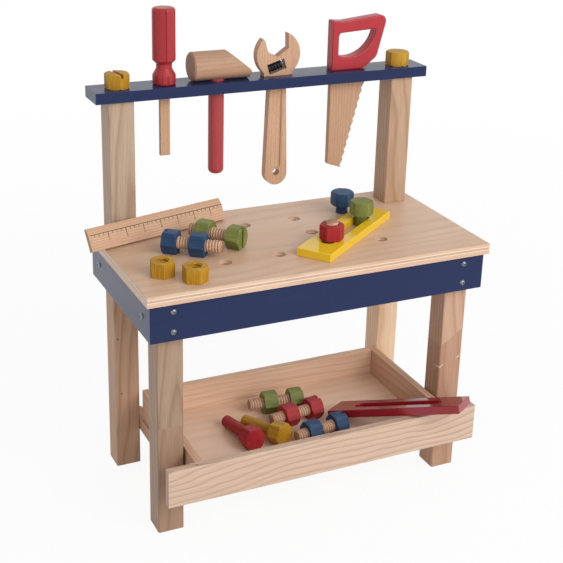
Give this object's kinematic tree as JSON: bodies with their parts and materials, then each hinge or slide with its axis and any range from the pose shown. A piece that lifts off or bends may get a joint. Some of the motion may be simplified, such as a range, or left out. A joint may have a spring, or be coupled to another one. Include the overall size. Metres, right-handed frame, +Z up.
{
  "type": "toy workbench",
  "caption": "Wooden toy workbench with a holed worktop, sliding tray, tool rail on posts, wooden tools, hex bolts, nuts, pegs, slotted strips and a ruler.",
  "frame": {"origin": "on the floor, midway between the four feet", "axes": "+X to the right along the worktop, +Y to the back, where the tool rail stands, +Z up"},
  "size_m": [0.5255, 0.3265, 0.6671],
  "materials": {
    "pine": "clear satin lacquer on pine",
    "birch_ply": "clear satin lacquer on ply",
    "beech": "sanded beech",
    "navy_paint": "satin paint on wood",
    "red_paint": "gloss paint on wood",
    "yellow_paint": "gloss paint on wood",
    "ochre_stain": "stain on wood, grain showing",
    "green_stain": "stain on wood, grain showing",
    "blue_stain": "stain on wood, grain showing",
    "black_paint": "satin paint on wood",
    "steel": "zinc-plated steel"
  },
  "bodies": {
    "bench": {"leg_front_left": "pine", "leg_front_right": "pine", "leg_rear_left": "pine", "leg_rear_right": "pine", "post_left": "pine", "post_right": "pine", "apron_front": "navy_paint", "apron_rear": "navy_paint", "apron_left": "navy_paint", "apron_right": "navy_paint", "worktop": "birch_ply", "tool_rail": "navy_paint", "tray_runner_left": "pine", "tray_runner_right": "pine", "frame_screws": "steel"},
    "tray": {"tray_front": "birch_ply", "tray_rear": "birch_ply", "tray_left": "birch_ply", "tray_right": "birch_ply", "tray_bottom": "birch_ply"},
    "screwdriver": {"screwdriver_handle": "red_paint", "screwdriver_blade": "beech"},
    "hammer": {"hammer_head": "beech", "hammer_handle": "red_paint"},
    "wrench": {"wrench_body": "beech", "wrench_pin": "steel"},
    "worm": {"wrench_worm": "black_paint"},
    "saw": {"saw_handle": "red_paint", "saw_blade": "beech"},
    "rail_bolt": {"rail_bolt_head": "ochre_stain", "rail_bolt_shaft": "beech"},
    "rail_peg": {"rail_peg": "ochre_stain"},
    "ruler": {"ruler": "beech"},
    "yellow_nut_left": {"yellow_nut_left": "ochre_stain"},
    "yellow_nut_right": {"yellow_nut_right": "ochre_stain"},
    "yellow_strip": {"yellow_strip": "yellow_paint"},
    "red_bolt": {"red_bolt_head": "red_paint", "red_bolt_shaft": "beech"},
    "red_nut": {"red_nut": "red_paint"},
    "green_peg": {"green_peg": "green_stain"},
    "blue_peg": {"blue_peg": "blue_stain"},
    "bench_blue_bolt": {"bench_blue_head": "blue_stain", "bench_blue_shaft": "beech"},
    "bench_blue_nut": {"bench_blue_nut": "blue_stain"},
    "bench_green_bolt": {"bench_green_head": "green_stain", "bench_green_shaft": "beech"},
    "bench_green_nut": {"bench_green_nut": "green_stain"},
    "tray_green_bolt": {"tray_green_head": "green_stain", "tray_green_shaft": "beech"},
    "tray_green_nut": {"tray_green_nut": "green_stain"},
    "tray_red_bolt": {"tray_red_head": "red_paint", "tray_red_shaft": "beech"},
    "tray_red_nut": {"tray_red_nut": "red_paint"},
    "tray_blue_bolt": {"tray_blue_head": "blue_stain", "tray_blue_shaft": "beech"},
    "tray_blue_nut": {"tray_blue_nut": "blue_stain"},
    "tray_red_peg": {"tray_red_peg": "red_paint"},
    "tray_yellow_peg": {"tray_yellow_peg": "ochre_stain"},
    "tray_red_strip": {"tray_red_strip": "red_paint"}
  },
  "joints": [
    {"name": "tray_slide", "type": "slide", "parent": "bench", "child": "tray", "axis": [0, -1, 0], "range_m": [-0.0325, 0.12]},
    {"name": "screwdriver_lift", "type": "slide", "parent": "bench", "child": "screwdriver", "axis": [0, 0, 1], "range_m": [0, 0.11]},
    {"name": "hammer_lift", "type": "slide", "parent": "bench", "child": "hammer", "axis": [0, 0, 1], "range_m": [0, 0.14]},
    {"name": "wrench_lift", "type": "slide", "parent": "bench", "child": "wrench", "axis": [0, 0, 1], "range_m": [0, 0.17]},
    {"name": "worm_turn", "type": "hinge", "parent": "wrench", "child": "worm", "pos_m": [0.0166, 0.0905, 0.57655], "axis": [0.9548, 0, 0.2974], "continuous": true},
    {"name": "saw_lift", "type": "slide", "parent": "bench", "child": "saw", "axis": [0, 0, 1], "range_m": [0, 0.155]},
    {"name": "rail_bolt_lift", "type": "slide", "parent": "bench", "child": "rail_bolt", "axis": [0, 0, 1], "range_m": [0, 0.07]},
    {"name": "rail_peg_lift", "type": "slide", "parent": "bench", "child": "rail_peg", "axis": [0, 0, 1], "range_m": [0, 0.07]},
    {"name": "ruler_lift", "type": "slide", "parent": "bench", "child": "ruler", "axis": [0, 0, 1], "range_m": [0, 0.035]},
    {"name": "yellow_nut_left_lift", "type": "slide", "parent": "bench", "child": "yellow_nut_left", "axis": [0, 0, 1], "range_m": [0, 0.05]},
    {"name": "yellow_nut_right_lift", "type": "slide", "parent": "bench", "child": "yellow_nut_right", "axis": [0, 0, 1], "range_m": [0, 0.05]},
    {"name": "yellow_strip_slide", "type": "slide", "parent": "bench", "child": "yellow_strip", "axis": [0.7975, 0.6033, 0], "range_m": [-0.002, 0.009]},
    {"name": "red_nut_turn", "type": "hinge", "parent": "bench", "child": "red_nut", "pos_m": [0.039, -0.0565, 0.3775], "axis": [0, 0, 1], "range_deg": [-540, 540]},
    {"name": "red_bolt_rise", "type": "slide", "parent": "bench", "child": "red_bolt", "axis": [0, 0, 1], "range_m": [-0.006, 0.006]},
    {"name": "green_peg_lift", "type": "slide", "parent": "bench", "child": "green_peg", "axis": [0, 0, 1], "range_m": [-0.0055, 0.07]},
    {"name": "blue_peg_lift", "type": "slide", "parent": "bench", "child": "blue_peg", "axis": [0, 0, 1], "range_m": [-0.012, 0.07]},
    {"name": "bench_blue_bolt_lift", "type": "slide", "parent": "bench", "child": "bench_blue_bolt", "axis": [0, 0, 1], "range_m": [0, 0.06]},
    {"name": "bench_blue_nut_travel", "type": "slide", "parent": "bench_blue_bolt", "child": "bench_blue_nut", "axis": [0.7934, -0.6088, 0], "range_m": [-0.017, 0.02]},
    {"name": "bench_green_bolt_lift", "type": "slide", "parent": "bench", "child": "bench_green_bolt", "axis": [0, 0, 1], "range_m": [0, 0.06]},
    {"name": "bench_green_nut_travel", "type": "slide", "parent": "bench_green_bolt", "child": "bench_green_nut", "axis": [-0.6455, 0.7638, 0], "range_m": [-0.026, 0.011]},
    {"name": "tray_green_bolt_lift", "type": "slide", "parent": "tray", "child": "tray_green_bolt", "axis": [0, 0, 1], "range_m": [0, 0.06]},
    {"name": "tray_green_nut_travel", "type": "slide", "parent": "tray_green_bolt", "child": "tray_green_nut", "axis": [-0.9925, 0.1219, 0], "range_m": [-0.018, 0.018]},
    {"name": "tray_red_bolt_lift", "type": "slide", "parent": "tray", "child": "tray_red_bolt", "axis": [0, 0, 1], "range_m": [0, 0.06]},
    {"name": "tray_red_nut_travel", "type": "slide", "parent": "tray_red_bolt", "child": "tray_red_nut", "axis": [-0.9925, -0.1219, 0], "range_m": [-0.02, 0.016]},
    {"name": "tray_blue_bolt_lift", "type": "slide", "parent": "tray", "child": "tray_blue_bolt", "axis": [0, 0, 1], "range_m": [0, 0.06]},
    {"name": "tray_blue_nut_travel", "type": "slide", "parent": "tray_blue_bolt", "child": "tray_blue_nut", "axis": [-0.989, -0.1478, 0], "range_m": [-0.023, 0.011]},
    {"name": "tray_red_peg_lift", "type": "slide", "parent": "tray", "child": "tray_red_peg", "axis": [0, 0, 1], "range_m": [0, 0.06]},
    {"name": "tray_yellow_peg_lift", "type": "slide", "parent": "tray", "child": "tray_yellow_peg", "axis": [0, 0, 1], "range_m": [0, 0.06]},
    {"name": "tray_red_strip_lift", "type": "slide", "parent": "tray", "child": "tray_red_strip", "axis": [0, 0, 1], "range_m": [0, 0.06]}
  ],
  "couplings": [
    {"joint": "red_bolt_rise", "follows": "red_nut_turn", "m_per_rad": -0.00063662}
  ]
}
